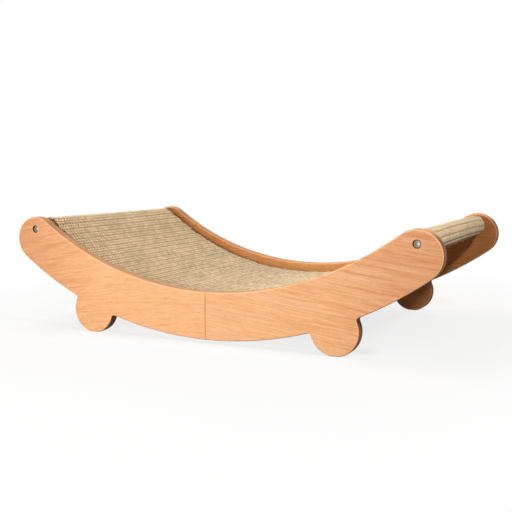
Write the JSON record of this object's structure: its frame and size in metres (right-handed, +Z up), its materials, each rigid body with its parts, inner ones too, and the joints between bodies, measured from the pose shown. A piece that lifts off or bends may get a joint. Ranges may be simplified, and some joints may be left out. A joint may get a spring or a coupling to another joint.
{
  "type": "cat hammock",
  "caption": "Free-standing cat hammock: curved wooden side boards on round feet carry end rods, with a woven sisal mat slung between the rods.",
  "frame": {"origin": "on the floor, under the middle of the hammock", "axes": "+X along the hammock to the right of the seamed front board, +Y from the front board to the rear board, +Z up"},
  "size_m": [0.624, 0.384, 0.16],
  "materials": {
    "board_wood": "clear satin lacquer on beech board, fine grain along the board",
    "rod_wood": "turned beech with a dark oil",
    "bolt_steel": "plain steel with a dull sheen",
    "zinc_steel": "bright zinc plate",
    "insert_brass": "plain brass",
    "sisal": "woven sisal with ribs across the mat and a looped surface"
  },
  "bodies": {
    "frame": {"front_board_left": "board_wood", "front_board_right": "board_wood", "rear_board_left": "board_wood", "rear_board_right": "board_wood", "front_upper_dowel": "rod_wood", "front_lower_dowel": "rod_wood", "rear_upper_dowel": "rod_wood", "rear_lower_dowel": "rod_wood", "front_joining_plate": "zinc_steel", "rear_joining_plate": "zinc_steel", "front_plate_screws": "zinc_steel", "rear_plate_screws": "zinc_steel", "left_end_rod": "rod_wood", "right_end_rod": "rod_wood", "left_front_insert": "insert_brass", "left_rear_insert": "insert_brass", "right_front_insert": "insert_brass", "right_rear_insert": "insert_brass", "left_front_bolt": "bolt_steel", "left_rear_bolt": "bolt_steel", "right_front_bolt": "bolt_steel", "right_rear_bolt": "bolt_steel", "left_mat_wrap": "sisal", "right_mat_wrap": "sisal", "left_mat_staples": "zinc_steel", "right_mat_staples": "zinc_steel"},
    "sling": {"sisal_sling": "sisal"}
  },
  "joints": [
    {"name": "sling_sag", "type": "slide", "parent": "frame", "child": "sling", "axis": [0, 0, -1], "range_m": [0, 0.015], "stiffness_N_per_m": 2500, "springref_m": -0.005}
  ]
}
